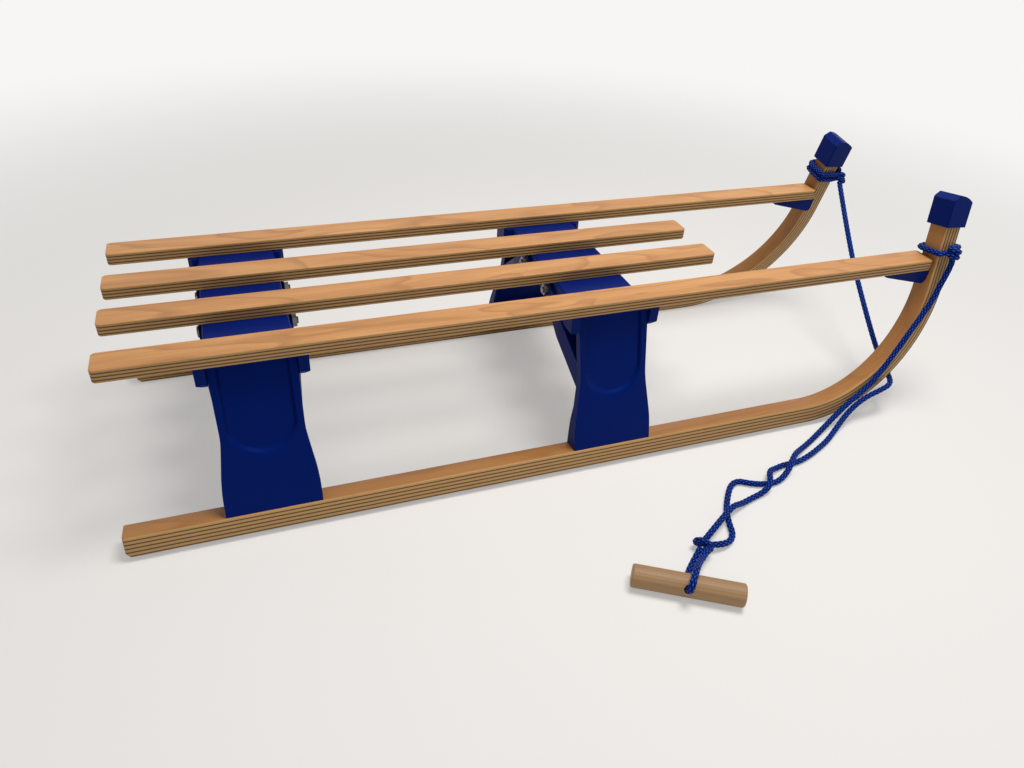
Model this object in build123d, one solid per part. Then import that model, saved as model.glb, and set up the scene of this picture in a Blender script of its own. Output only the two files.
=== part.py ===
# Wooden sled: two bent laminated runners that rise into upright horns, four
# laminated slats, and two moulded plastic trestles that carry them.
# Millimetres. +X is forward, towards the horns, +Y is left and +Z is up.
# The origin lies on the ground under the middle of the sled's box.
# Every side piece is drawn on the left (+Y) side and mirrored to the right.
import os
from math import atan2, cos, pi, radians, sin, tan

from build123d import *

# Overall sizes
sled_length = 1096.0      # rear end of the runners to the front of the horn caps
seat_height = 223.0       # ground to the tops of the slats

# Slats
slat_width = 34.0
slat_thickness = 15.0
slat_end_radius = 5.0     # round corners at a slat's ends, seen from above
slat_edge_radius = 1.2    # eased long edges
slat_outer_y = 128.0      # centre of an outer slat
slat_inner_y = 40.0       # centre of an inner slat
slat_horn_gap = 1.0       # from an outer slat's front end to the horn's back
slat_inner_length = 755.0
slat_setback = 10.0       # a slat's rear end lies this far ahead of the runner's

# Side frames: a runner and its horn lie in a plane that leans outward below
side_tilt = 10.2          # degrees from the vertical
runner_width = 28.0
runner_thickness = 26.0
runner_inner_y = 158.5    # inner edge of the runner's bottom
runner_edge_radius = 1.5
runner_tail_chamfer = 5.0
bend_radius = 172.0       # inside of the bend
bend_angle = 86.0
horn_height = 300.0       # top of the wood, along the leaning plane

# Steel strip under each runner
strip_thickness = 2.0
strip_width = 20.0
strip_screw_diameter = 7.0      # countersunk holes along the strip
strip_screw_margin = 30.0
strip_screw_count = 5
strip_gap = 0.15          # film of glue between strip and wood
strip_tail = 12.0         # the strip starts this far ahead of the runner's end
strip_bend_angle = 70.0   # it follows the bend this far

# Caps on the horns
cap_wall = 3.5
cap_clearance = 0.2
cap_height = 42.5
cap_skirt = 33.5          # depth that covers the wood
cap_bevel_run = 9.0       # rear facet, along X
cap_bevel_drop = 7.0
cap_front_drop = 10.0     # the arched top falls this much to the front
cap_slot_length = 8.0     # drain slot in the top
cap_slot_width = 3.5
cap_slot_out = 7.0        # outward of the cap's middle
cap_edge_radius = 1.6

# Brackets between horns and outer slats
bracket_length = 74.0
bracket_tip = 4.0
bracket_depth = 22.0
bracket_width = 30.0
bracket_low_radius = 7.0  # round lower front corner
bracket_gap = 0.3         # to the horn's back
bracket_slot_depth = 7.0  # relief in the wedge's top, seen as a thin dark line
bracket_slot_height = 1.5

# Trestles: a beam across, a leg at each end
trestle_rear = 149.0      # behind: from the slats' rear ends to its centre
trestle_spacing = 421.0
beam_half_width = 46.5
beam_half_length = 139.0
beam_depth = 30.0
beam_wall = 4.0
beam_top = 5.0
beam_edge_radius = 3.0    # long top edges
beam_rib = 3.0
beam_rib_y = 68.0         # a rib on each side of the middle one
ear_thickness = 11.5
ear_length = 34.0         # along Y, in from the beam's end
ear_drop = 30.0
ear_round = 15.0
ear_chamfer = 5.0
ear_outer_chamfer = 6.0   # lower corner at the beam's end
ear_lap = 4.0             # the channel's walls run this far in beside the ears
ear_gap = 0.5             # between an ear and the leg's head

# Leg: a post from the beam's end to the runner, and a brace back to the beam
post_thickness = 12.0
post_wall = 4.0
post_head_inset = 7.0     # its outer face lies this far inside the beam's end
waist_half = 44.5
waist_height = 118.0
foot_half = 53.0
foot_shoulder = 60.0      # height where the flare ends
foot_block = 24.0         # height of the full-depth foot, above the runner
flare_radius = 150.0
panel_half = 33.6         # of the panel's sunk floor
panel_bottom = 105.0      # lowest height of the floor's round end
panel_depth = 2.5
panel_bevel = 4.4         # the panel's border slopes in over this width
panel_low_bevel = 11.0    # and over this height at the bottom
panel_over = 10.0         # its outline runs on past the post's head
rib_thickness = 3.0
rib_heights = (150.0, 112.0)

brace_bolt_y = 40.0
brace_bolt_drop = 18.0    # bolt's axis below the beam's top
brace_half_depth = 12.5
brace_slope = 35.0
brace_cheek = 3.5
brace_clearance = 0.5     # between cheek and beam
brace_web = 4.0
brace_web_start = 84.0    # the web ends here, short of the beam
brace_root_half = 41.5    # half width where the brace meets the post

# Bolts that hold the braces
bolt_diameter = 8.0
bolt_clearance = 0.3
bolt_head_diameter = 14.0
bolt_head_height = 2.8
nut_across_flats = 13.0
nut_height = 5.2
bolt_tail = 2.0           # thread past the nut
boss_diameter = 16.0

# Tow rope, tied round both horns, with a turned grip in its bight
rope_diameter = 8.0
rope_clearance = 0.3      # between the rope and what it is tied round
knot_turn_radius = 6.0    # a knot is tight round its own cord
knot_turn_pitch = 7.0     # a knot is drawn as turns of cord round its own cord
grip_diameter = 26.0
grip_length = 123.0
grip_end_radius = 2.5
grip_hole = 10.5
grip_hole_tilt = 27.0     # the hole's near mouth points up by this much
grip_x = 20.2
grip_y = -399.8
grip_turn = -30.2         # the grip's axis, seen from above
tie_height_right = 236.0  # first turn of cord round a horn, along the leaning plane
tie_height_left = 249.0
tie_pitch = 8.4
tie_corner = 5.0

# Places worked out from the sizes
rear_x = -sled_length / 2
slat_rear_x = rear_x + slat_setback
slat_bottom = seat_height - slat_thickness
strip_edge = (runner_width - strip_width) / 2
wood_low = strip_thickness + strip_gap
wood_high = wood_low + runner_thickness
tilt_sin = sin(radians(side_tilt))
tilt_cos = cos(radians(side_tilt))
frame_y = runner_inner_y
frame_z = -strip_edge * tilt_sin
horn_front_x = sled_length / 2 - cap_wall - cap_clearance
outer_radius = bend_radius + runner_thickness
bend_end_height = wood_low + outer_radius - outer_radius * cos(radians(bend_angle))
horn_straight = (horn_height - bend_end_height) / sin(radians(bend_angle))
bend_x = (horn_front_x - outer_radius * sin(radians(bend_angle))
          - horn_straight * cos(radians(bend_angle)))
trestles = (("rear", slat_rear_x + trestle_rear, 1),
            ("front", slat_rear_x + trestle_rear + trestle_spacing, -1))
brace_bolt_z = slat_bottom - brace_bolt_drop
brace_inner = beam_half_width + brace_clearance
brace_outer = brace_inner + brace_cheek
ear_inner = beam_half_width
head_half = ear_inner - ear_gap
head_top = slat_bottom - beam_top
arc_share = 0.45          # of a run, that a cord's arc may take
reach = sled_length / 2   # longer than any piece that a cutting block crosses


def side_frame(shape):
    """Lean a piece drawn upright: local Y is outward from the runner's inner face."""
    return Pos(0, frame_y, frame_z) * Rot(side_tilt, 0, 0) * shape


def frame_point(across, height):
    """Place of a point of the leaning side frame, as (y, z)."""
    return (frame_y + across * tilt_cos - height * tilt_sin,
            frame_z + across * tilt_sin + height * tilt_cos)


def along_y(face, y_from, y_to):
    """Extrude a face drawn on the XZ plane from one Y to another."""
    return Pos(0, y_to, 0) * extrude(face, amount=y_to - y_from)


def along_x(face, x_from, x_to):
    """Extrude a face drawn on the YZ plane from one X to another."""
    return Pos(x_from, 0, 0) * extrude(face, amount=x_to - x_from)


def xz_face(*edges):
    return Plane.XZ * make_face(Wire(edges))


def yz_polygon(*points):
    return Plane.YZ * make_face(Polyline(*points, close=True))


def xz_polygon(*points):
    return Plane.XZ * make_face(Polyline(*points, close=True))


def mirrored(shape):
    return mirror(shape, about=Plane.XZ)


def runner_band(x_start, low, high, angle, straight):
    """Side view of a band that runs flat, bends up and goes on straight."""
    centre_z = wood_low + outer_radius
    turn = radians(angle)

    def bend_point(radius, share):
        return (bend_x + radius * sin(turn * share), centre_z - radius * cos(turn * share))

    low_radius = centre_z - low
    high_radius = centre_z - high
    low_end = bend_point(low_radius, 1)
    high_end = bend_point(high_radius, 1)
    rise = (straight * cos(turn), straight * sin(turn))
    low_tip = (low_end[0] + rise[0], low_end[1] + rise[1])
    high_tip = (high_end[0] + rise[0], high_end[1] + rise[1])
    edges = [Line((x_start, low), (bend_x, low)),
             ThreePointArc((bend_x, low), bend_point(low_radius, 0.5), low_end)]
    if straight:
        edges += [Line(low_end, low_tip), Line(low_tip, high_tip), Line(high_tip, high_end)]
    else:
        edges.append(Line(low_end, high_end))
    edges += [ThreePointArc(high_end, bend_point(high_radius, 0.5), (bend_x, high)),
              Line((bend_x, high), (x_start, high)),
              Line((x_start, high), (x_start, low))]
    return xz_face(*edges)


def make_runner():
    band = runner_band(rear_x, wood_low, wood_high, bend_angle, horn_straight)
    wood = along_y(band, 0, runner_width)
    wood -= along_y(xz_polygon((rear_x, wood_low), (rear_x + runner_tail_chamfer, wood_low),
                               (rear_x, wood_low + runner_tail_chamfer)), 0, runner_width)
    sides = wood.faces().filter_by(Axis.Y)
    wood = fillet(sides[0].edges() + sides[1].edges(), runner_edge_radius)
    return side_frame(wood)


def make_strip():
    band = runner_band(rear_x + strip_tail, 0, strip_thickness, strip_bend_angle, 0)
    strip = along_y(band, strip_edge, runner_width - strip_edge)
    first = rear_x + strip_tail + strip_screw_margin
    step = (bend_x - first) / (strip_screw_count - 1)
    for index in range(strip_screw_count):
        strip -= Pos(first + index * step, runner_width / 2, strip_thickness / 2) * Cone(
            strip_screw_diameter / 2, strip_screw_diameter / 2 - strip_thickness, strip_thickness)
    return side_frame(strip)


def make_slat(y, length):
    slat = Box(length, slat_width, slat_thickness,
               align=(Align.MIN, Align.CENTER, Align.MAX))
    slat = fillet(slat.edges().filter_by(Axis.Z), slat_end_radius)
    slat = fillet(slat.edges().group_by(Axis.Z)[-1], slat_edge_radius)
    slat = fillet(slat.edges().group_by(Axis.Z)[0], slat_edge_radius)
    return Pos(slat_rear_x, y, seat_height) * slat


def make_cap():
    """A cup over the horn's top, drawn upright and leant with the horn."""
    half_x = runner_thickness / 2 + cap_clearance + cap_wall
    half_y = runner_width / 2 + cap_clearance + cap_wall
    low = horn_height - cap_skirt
    top = low + cap_height
    side = xz_face(Line((-half_x, low), (half_x, low)),
                   Line((half_x, low), (half_x, top - cap_front_drop)),
                   ThreePointArc((half_x, top - cap_front_drop),
                                 (cap_bevel_run / 2, top - cap_front_drop / 4),
                                 (-half_x + cap_bevel_run, top)),
                   Line((-half_x + cap_bevel_run, top), (-half_x, top - cap_bevel_drop)),
                   Line((-half_x, top - cap_bevel_drop), (-half_x, low)))
    cup = along_y(side, -half_y, half_y)
    cup = fillet(cup.edges().filter_by(Axis.Z), cap_edge_radius)
    hollow = Box(runner_thickness + 2 * cap_clearance, runner_width + 2 * cap_clearance,
                 cap_skirt, align=(Align.CENTER, Align.CENTER, Align.MIN))
    cup -= Pos(0, 0, low) * hollow
    cup -= Pos(0, cap_slot_out, low + cap_skirt) * Box(
        cap_slot_length, cap_slot_width, cap_height, align=(Align.CENTER, Align.CENTER, Align.MIN))
    middle_x = horn_front_x - runner_thickness / 2 * sin(radians(bend_angle))
    middle_top = horn_height + runner_thickness / 2 * cos(radians(bend_angle))
    cup = Rot(0, 90 - bend_angle, 0) * Pos(0, 0, cap_clearance - horn_height) * cup
    return side_frame(Pos(middle_x, runner_width / 2, middle_top) * cup)


def horn_back_x(height):
    """X of the horn's back at a height of the leaning side frame."""
    return horn_front_x - runner_thickness - (horn_height - height) * tan(radians(90 - bend_angle))


def make_bracket():
    low = slat_bottom - bracket_depth
    front_top = horn_back_x(slat_bottom) - bracket_gap
    front_low = horn_back_x(low) - bracket_gap
    tip_x = front_top - bracket_length
    wedge = along_y(xz_polygon((tip_x, slat_bottom), (front_top, slat_bottom),
                               (front_low, low), (tip_x, slat_bottom - bracket_tip)),
                    slat_outer_y - bracket_width / 2, slat_outer_y + bracket_width / 2)
    wedge = fillet(wedge.edges().filter_by(Axis.Y).sort_by(Axis.Z)[0], bracket_low_radius)
    slot = along_y(xz_polygon((tip_x + bracket_slot_depth, slat_bottom),
                              (front_top - bracket_slot_depth, slat_bottom),
                              (front_top - bracket_slot_depth, slat_bottom - bracket_slot_height),
                              (tip_x + bracket_slot_depth, slat_bottom - bracket_slot_height)),
                   slat_outer_y - reach, slat_outer_y + reach)
    return wedge - slot


def ear_profile():
    """End view of an ear: square outside, a large quarter round inside."""
    out_y = beam_half_length
    in_y = out_y - ear_length
    low = slat_bottom - ear_drop
    return Plane.YZ * make_face(Wire([
        Line((in_y, slat_bottom), (out_y, slat_bottom)),
        Line((out_y, slat_bottom), (out_y, low)),
        Line((out_y, low), (in_y + ear_round, low)),
        ThreePointArc((in_y + ear_round, low),
                      (in_y + ear_round * (1 - sin(radians(45))),
                       low + ear_round * (1 - sin(radians(45)))),
                      (in_y, low + ear_round)),
        Line((in_y, low + ear_round), (in_y, slat_bottom))]))


def make_beam():
    """Channel open below, with ribs, two bolt sleeves and an ear at each corner."""
    channel_half = beam_half_length - ear_length + ear_lap
    beam = Pos(0, 0, slat_bottom) * Box(2 * beam_half_width, 2 * beam_half_length, beam_top,
                                        align=(Align.CENTER, Align.CENTER, Align.MAX))
    for side in (-1, 1):
        beam += Pos(side * (beam_half_width - beam_wall / 2), 0, slat_bottom) * Box(
            beam_wall, 2 * channel_half, beam_depth,
            align=(Align.CENTER, Align.CENTER, Align.MAX))
    for rib_y in (-channel_half + beam_rib / 2, -beam_rib_y, 0, beam_rib_y,
                  channel_half - beam_rib / 2):
        beam += Pos(0, rib_y, slat_bottom) * Box(2 * beam_half_width, beam_rib, beam_depth,
                                                 align=(Align.CENTER, Align.CENTER, Align.MAX))
    beam = fillet(beam.edges().filter_by(Axis.Y).group_by(Axis.Z)[-1], beam_edge_radius)
    for side in (-1, 1):
        sleeve = Rot(0, 90, 0) * Cylinder(boss_diameter / 2, 2 * beam_half_width)
        beam += Pos(0, side * brace_bolt_y, brace_bolt_z) * sleeve
    for end in (1, -1):
        for side in (1, -1):
            inner = side * ear_inner
            outer = side * (ear_inner + ear_thickness)
            ear = along_x(ear_profile(), min(inner, outer), max(inner, outer))
            corner = ear.edges().filter_by(Axis.X).group_by(Axis.Z)[0].sort_by(Axis.Y)[-1]
            ear = chamfer(corner, ear_outer_chamfer)
            lowest = ear.edges().filter_by(Axis.Y).group_by(Axis.Z)[0]
            ear = chamfer(lowest.sort_by(Axis.X)[-1 if side > 0 else 0], ear_chamfer)
            beam += ear if end > 0 else mirrored(ear)
    for side in (-1, 1):
        hole = Rot(0, 90, 0) * Cylinder(bolt_diameter / 2 + bolt_clearance, reach)
        beam -= Pos(0, side * brace_bolt_y, brace_bolt_z) * hole
    return beam


foot_out = frame_point(runner_width - runner_edge_radius, wood_high)
foot_in = frame_point(runner_edge_radius, wood_high)
head_out = (beam_half_length - post_head_inset, head_top)


def outer_y(height):
    """Y of the post's outer face at a height."""
    share = (height - foot_out[1]) / (head_out[1] - foot_out[1])
    return foot_out[0] + share * (head_out[0] - foot_out[0])


def post_slab(near, far):
    """End view of a slab that follows the post's outer face, between two depths."""
    low = foot_out[1]
    return yz_polygon((outer_y(low) - near, low), (outer_y(head_top) - near, head_top),
                      (outer_y(head_top) - far, head_top), (outer_y(low) - far, low))


def post_outline(inset):
    """Front view of the post, narrow at the waist and flared to the foot."""
    half = [(head_half - inset, head_top), (waist_half - inset, waist_height),
            (foot_half - inset, foot_shoulder), (foot_half - inset, 0)]
    other = [(-x, z) for x, z in reversed(half)]
    face = make_face(Polyline(*half, *other, close=True))
    bends = [v for v in face.vertices()
             if abs(v.Y - waist_height) < 1 or abs(v.Y - foot_shoulder) < 1]
    return Plane.XZ * fillet(bends, flare_radius)


def panel_outline(share):
    """Panel's outline, from its floor (-1) over the post's face (0) to as far outside (1)."""
    lean = atan2(foot_out[0] - head_out[0], head_out[1] - foot_out[1])
    rise = panel_depth * share
    half = panel_half + panel_bevel * (share + 1)
    bottom = panel_bottom - panel_low_bevel * (share + 1)
    centre = (head_top - bottom) / cos(lean) - half
    face_plane = Plane(origin=(0, head_out[0] + rise * cos(lean), head_out[1] + rise * sin(lean)),
                       x_dir=(1, 0, 0), z_dir=(0, cos(lean), sin(lean)))
    return face_plane * make_face(Wire([
        Line((-half, -panel_over), (-half, centre)),
        ThreePointArc((-half, centre), (0, centre + half), (half, centre)),
        Line((half, centre), (half, -panel_over)),
        Line((half, -panel_over), (-half, -panel_over))]))


def brace_slot(half_depth, length):
    """End view of the brace: a band down from the bolt, round at the bolt."""
    slot = Pos(length / 2, 0) * Rectangle(length, 2 * half_depth) + Circle(half_depth)
    return Plane.YZ * Pos(brace_bolt_y, brace_bolt_z) * Rot(0, 0, -brace_slope) * slot


def brace_plan(half_top, half_root):
    """Brace seen from above: parallel beside the beam, then closing to the post."""
    root_y = outer_y(waist_height)
    half = [(half_top, -reach), (half_top, brace_web_start), (half_root, root_y),
            (half_root, reach)]
    other = [(-x, y) for x, y in reversed(half)]
    return extrude(make_face(Polyline(*half, *other, close=True)), amount=reach)


def make_leg():
    foot_top = foot_out[1] + foot_block
    side_view = yz_polygon(foot_out, head_out,
                           (head_out[0] - post_thickness, head_top),
                           (outer_y(foot_shoulder + foot_block) - post_thickness,
                            foot_shoulder + foot_block),
                           (foot_in[0], foot_top), foot_in)
    post = along_x(side_view, -reach, reach) & along_y(post_outline(0), -reach, reach)
    hollow = (along_x(post_slab(post_wall, reach), -reach, reach)
              & along_y(post_outline(post_wall), -reach, reach))
    floor_cut = Pos(0, 0, foot_top - foot_block / 2) * Box(
        reach, 2 * reach, reach, align=(Align.CENTER, Align.CENTER, Align.MIN))
    head_cut = Pos(0, 0, head_top - post_wall) * Box(
        reach, 2 * reach, reach, align=(Align.CENTER, Align.CENTER, Align.MAX))
    hollow = hollow & floor_cut & head_cut
    for height in rib_heights:
        hollow -= Pos(0, 0, height) * Box(reach, 2 * reach, rib_thickness)
    post -= hollow
    run = (outer_y(waist_height) - brace_bolt_y) / cos(radians(brace_slope))
    brace = along_x(brace_slot(brace_half_depth, run), -reach, reach)
    brace &= brace_plan(brace_outer, brace_root_half)
    inner = along_x(brace_slot(reach / 4, reach), -reach, reach)
    inner &= brace_plan(brace_inner, brace_root_half - brace_cheek)
    web = along_x(Plane.YZ * Pos(brace_bolt_y, brace_bolt_z) * Rot(0, 0, -brace_slope)
                  * Pos(0, brace_half_depth) * Rectangle(
                      reach, 2 * brace_web, align=(Align.MIN, Align.CENTER)), -reach, reach)
    web &= Pos(0, brace_web_start, 0) * Box(reach, reach, reach,
                                            align=(Align.CENTER, Align.MIN, Align.CENTER))
    brace -= inner - web
    brace &= along_x(yz_polygon((-reach, 0), foot_out, head_out, (-reach, reach)), -reach, reach)
    leg = post + brace
    leg -= loft([panel_outline(-1), panel_outline(1)], ruled=True)
    hole = Rot(0, 90, 0) * Cylinder(bolt_diameter / 2 + bolt_clearance, reach)
    return leg - Pos(0, brace_bolt_y, brace_bolt_z) * hole


def make_bolt():
    """Low round head against one cheek, shank through beam and cheeks."""
    length = 2 * brace_outer + nut_height + bolt_tail
    head = Pos(-brace_outer - bolt_head_height / 2, 0, 0) * Rot(0, 90, 0) * Cylinder(
        bolt_head_diameter / 2, bolt_head_height)
    head = fillet(head.edges().sort_by(Axis.X)[0], bolt_head_height * 0.8)
    shank = Pos(-brace_outer + length / 2, 0, 0) * Rot(0, 90, 0) * Cylinder(
        bolt_diameter / 2, length)
    return head + shank


def make_nut():
    hexagon = Plane.YZ * (RegularPolygon(nut_across_flats / 2, 6, major_radius=False)
                          - Circle(bolt_diameter / 2))
    return Pos(brace_outer, 0, 0) * extrude(hexagon, amount=nut_height)


def both_sides(name, shape):
    return {name + "_left": shape, name + "_right": mirrored(shape)}


def rope_tube(points):
    """Cord along straight runs joined by arcs as large as the runs allow."""
    corners = [Vector(*p) for p in points]
    radii = []
    for before, at, after in zip(corners, corners[1:], corners[2:]):
        half_turn = radians((at - before).get_angle(after - at)) / 2
        shorter = min((at - before).length, (after - at).length)
        radii.append(arc_share * shorter / tan(half_turn))
    path = FilletPolyline(*corners, radius=radii)
    start = Plane(origin=corners[0], z_dir=corners[1] - corners[0])
    tube = sweep(start * Circle(rope_diameter / 2), path=path)
    share = tube.volume / (path.length * pi * rope_diameter ** 2 / 4)
    print("cord", round(path.length), "mm, volume share", round(share, 3),
          "least radius", round(min(radii), 1), [round(r) for r in radii])
    return tube


def make_knot(centre, towards, turns):
    """Turns of cord wound round its own cord, a row of fat rings on one core."""
    ring = rope_diameter / 2
    middle = (turns - 1) / 2
    knot = Cylinder(knot_turn_radius, knot_turn_pitch * (turns - 1) + ring)
    for index in range(turns):
        knot += Pos(0, 0, (index - middle) * knot_turn_pitch) * Torus(knot_turn_radius, ring)
    return Plane(origin=centre, z_dir=towards).location * knot


def make_tie(turns, first_height):
    """Closed turns of cord round a horn, drawn upright and leant with the horn."""
    off = rope_diameter / 2 + rope_clearance
    turn_x = runner_thickness + 2 * off
    turn_y = runner_width + 2 * off
    tie = None
    for index in range(turns):
        height = first_height + index * tie_pitch
        path = Plane.XY.offset(height) * RectangleRounded(turn_x, turn_y, tie_corner).wire()
        start = Plane(origin=(0, turn_y / 2, height), z_dir=(1, 0, 0))
        tube = sweep(start * Circle(rope_diameter / 2), path=path)
        back = horn_back_x(height) + runner_thickness / 2
        tube = Pos(back, runner_width / 2, 0) * tube
        tie = tube if tie is None else tie + tube
    return side_frame(tie)


def make_grip():
    grip = Rot(0, 90, 0) * Cylinder(grip_diameter / 2, grip_length)
    grip = fillet(grip.edges(), grip_end_radius)
    grip -= Rot(90 - grip_hole_tilt, 0, 0) * Cylinder(grip_hole / 2, 2 * grip_diameter)
    return Pos(grip_x, grip_y, grip_diameter / 2) * Rot(0, 0, grip_turn) * grip


def by_grip(along, away, height):
    """Place near the grip: along its axis, away from it towards the knot, and up."""
    turn = radians(grip_turn)
    return (grip_x + along * cos(turn) - away * sin(turn),
            grip_y + along * sin(turn) + away * cos(turn), height)


# Routes of the cord, in points chosen by hand
rope_right_route = [
    (526.5, -155.8, 232), (529, -157, 225.5), (528, -158, 215.5), (525, -159, 202.5),
    (520.5, -160.5, 188.5), (515.5, -162.5, 166), (487, -169.9, 122),
    (461, -177.1, 82), (436, -182.7, 51), (405, -186.5, 30), (380, -193, 14), (348.5, -206.5, 5),
    (321.5, -220.5, 4.2), (297.5, -231.5, 4.5), (280.5, -242, 11.3), (272.5, -247.5, 12.8),
    (261.5, -256.5, 12.8), (253, -265, 10.2), (234.5, -275.5, 4.3), (218.5, -279.5, 4.2),
    (201.5, -276.5, 4.2), (187.5, -270.5, 4.2), (175.5, -262.5, 4.3), (162.5, -266.5, 4.2),
    (149.5, -280.5, 4.2), (136.5, -297.5, 4.2), (127.5, -312.5, 4.2), (121.5, -328.5, 4.2),
    (117.5, -341.5, 4.2), (107.5, -351.5, 5), (91, -355.5, 8.5), (76, -354, 11.5)]
rope_left_route = [
    (550, 109, 235.5), (524, 16, 160), (508, -66, 101), (497, -128, 59), (484, -172, 50),
    (474, -185, 48), (455, -188.5, 44), (428, -189.5, 36), (403, -194, 21), (375, -208, 6.8),
    (348.5, -224.5, 4.2), (323.5, -236.5, 4.2), (296.5, -247.5, 4.2), (273.5, -253.5, 4.2),
    (253.5, -252.5, 4.2), (236.5, -256.5, 5), (225, -262, 10.2), (217.5, -268.5, 12.8),
    (211.5, -279.5, 12.8), (205, -288, 10.2), (192.5, -291.5, 4.4), (174.5, -295.5, 4.4),
    (155.5, -301.5, 5.7), (140, -307, 12.5), (130, -312, 12.8), (118, -319, 12.8),
    (98, -331, 12), (75, -345.5, 11.8)]
rope_bight_route = [
    by_grip(21.5, 62, 11), by_grip(16.5, 44, 14), by_grip(10.5, 26, 23), by_grip(6, 8, 32),
    by_grip(2, -13.5, 32.5), by_grip(0, -20, 23.2), by_grip(0, 17.2, 4.3),
    by_grip(3, 30, 4.3), by_grip(8.5, 46, 5), by_grip(15, 62, 9)]

pieces = {}
slat_outer_length = horn_back_x(slat_bottom) - slat_horn_gap - slat_rear_x
pieces.update(both_sides("slat_outer", make_slat(slat_outer_y, slat_outer_length)))
pieces.update(both_sides("slat_inner", make_slat(slat_inner_y, slat_inner_length)))
pieces.update(both_sides("runner", make_runner()))
pieces.update(both_sides("running_strip", make_strip()))
pieces.update(both_sides("horn_cap", make_cap()))
pieces.update(both_sides("horn_bracket", make_bracket()))
beam = make_beam()
leg = make_leg()
bolt = Pos(0, brace_bolt_y, brace_bolt_z) * make_bolt()
nut = Pos(0, brace_bolt_y, brace_bolt_z) * make_nut()
for place, centre_x, nut_side in trestles:
    turn = Pos(centre_x, 0, 0) if nut_side > 0 else Pos(centre_x, 0, 0) * Rot(0, 0, 180)
    pieces["beam_" + place] = Pos(centre_x, 0, 0) * beam
    pieces.update(both_sides("leg_" + place, Pos(centre_x, 0, 0) * leg))
    for side, flip in (("left", nut_side > 0), ("right", nut_side < 0)):
        pieces["brace_bolt_" + place + "_" + side] = turn * (bolt if flip else mirrored(bolt))
        pieces["brace_nut_" + place + "_" + side] = turn * (nut if flip else mirrored(nut))

rope_right = rope_tube(rope_right_route)
rope_left = rope_tube(rope_left_route)
rope_bight = rope_tube(rope_bight_route)
knot_right = make_knot((526.5, -155.4, 237), (-0.1, -0.1, -0.99), 2)
knot_left = make_knot((551, 113.7, 241), (-0.1, -0.45, -0.9), 2)
pieces["rope_right"] = rope_right
pieces["rope_left"] = rope_left
pieces["rope_tie_right"] = mirrored(make_tie(1, tie_height_right)) + knot_right - rope_right
pieces["rope_tie_left"] = make_tie(2, tie_height_left) + knot_left - rope_left
pieces["rope_bight"] = rope_bight
grip_knot = make_knot((70.2, -351, 10.6), (0.503, 0.864, 0), 2)
pieces["rope_knot"] = grip_knot - rope_right - rope_left - rope_bight
pieces["handle"] = make_grip()

os.makedirs("parts", exist_ok=True)
for name, shape in pieces.items():
    solids = shape.solids()
    export_step(solids[0] if len(solids) == 1 else Compound(children=solids),
                "parts/" + name + ".step")
    print(name, len(solids), round(sum(s.volume for s in solids)))
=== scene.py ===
from math import ceil, cos, pi, radians, sin, tan

import bpy
import numpy as np
from mathutils import Matrix, Vector


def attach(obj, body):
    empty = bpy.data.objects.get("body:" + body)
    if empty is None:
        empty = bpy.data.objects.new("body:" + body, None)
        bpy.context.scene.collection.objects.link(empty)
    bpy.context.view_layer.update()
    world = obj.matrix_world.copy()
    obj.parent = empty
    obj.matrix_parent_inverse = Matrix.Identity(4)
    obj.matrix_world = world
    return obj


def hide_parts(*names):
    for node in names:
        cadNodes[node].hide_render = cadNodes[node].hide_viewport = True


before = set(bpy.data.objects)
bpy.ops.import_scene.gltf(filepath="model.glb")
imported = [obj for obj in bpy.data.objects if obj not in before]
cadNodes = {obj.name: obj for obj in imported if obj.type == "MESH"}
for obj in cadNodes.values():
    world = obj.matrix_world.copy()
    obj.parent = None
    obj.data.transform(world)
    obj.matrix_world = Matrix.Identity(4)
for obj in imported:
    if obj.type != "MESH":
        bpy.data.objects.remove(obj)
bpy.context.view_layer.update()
print("frame:", len(cadNodes), "solids")

# the photograph's viewpoint, fitted to the edges of the slats, runners and legs
cameraView = {
    "place": (-0.3806, -0.8432, 0.6655),
    "yaw": 0.382542,         # radians, from +Y towards +X
    "pitch": -0.620645,
    "roll": 0.0711919,
    "lens": 27.04,           # millimetres
    "sensor": 36,            # its width, millimetres
    "clip": (0.05, 60),      # nearest and farthest, metres
}


def makeCamera(view):
    # look = direction from yaw and pitch; right and up are turned about it by the roll
    yaw, pitch, roll = view["yaw"], view["pitch"], view["roll"]
    look = Vector((sin(yaw) * cos(pitch), cos(yaw) * cos(pitch), sin(pitch)))
    level = Vector((cos(yaw), -sin(yaw), 0))
    upright = level.cross(look)
    right = cos(roll) * level + sin(roll) * upright
    up = cos(roll) * upright - sin(roll) * level
    data = bpy.data.cameras.new("photoCamera")
    data.lens = view["lens"]
    data.sensor_width = view["sensor"]
    data.clip_start, data.clip_end = view["clip"]
    camera = bpy.data.objects.new("photoCamera", data)
    bpy.context.scene.collection.objects.link(camera)
    turn = Matrix((right, up, -look)).transposed().to_4x4()
    camera.matrix_world = Matrix.Translation(view["place"]) @ turn
    bpy.context.scene.camera = camera


makeCamera(cameraView)
print("camera set")


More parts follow.
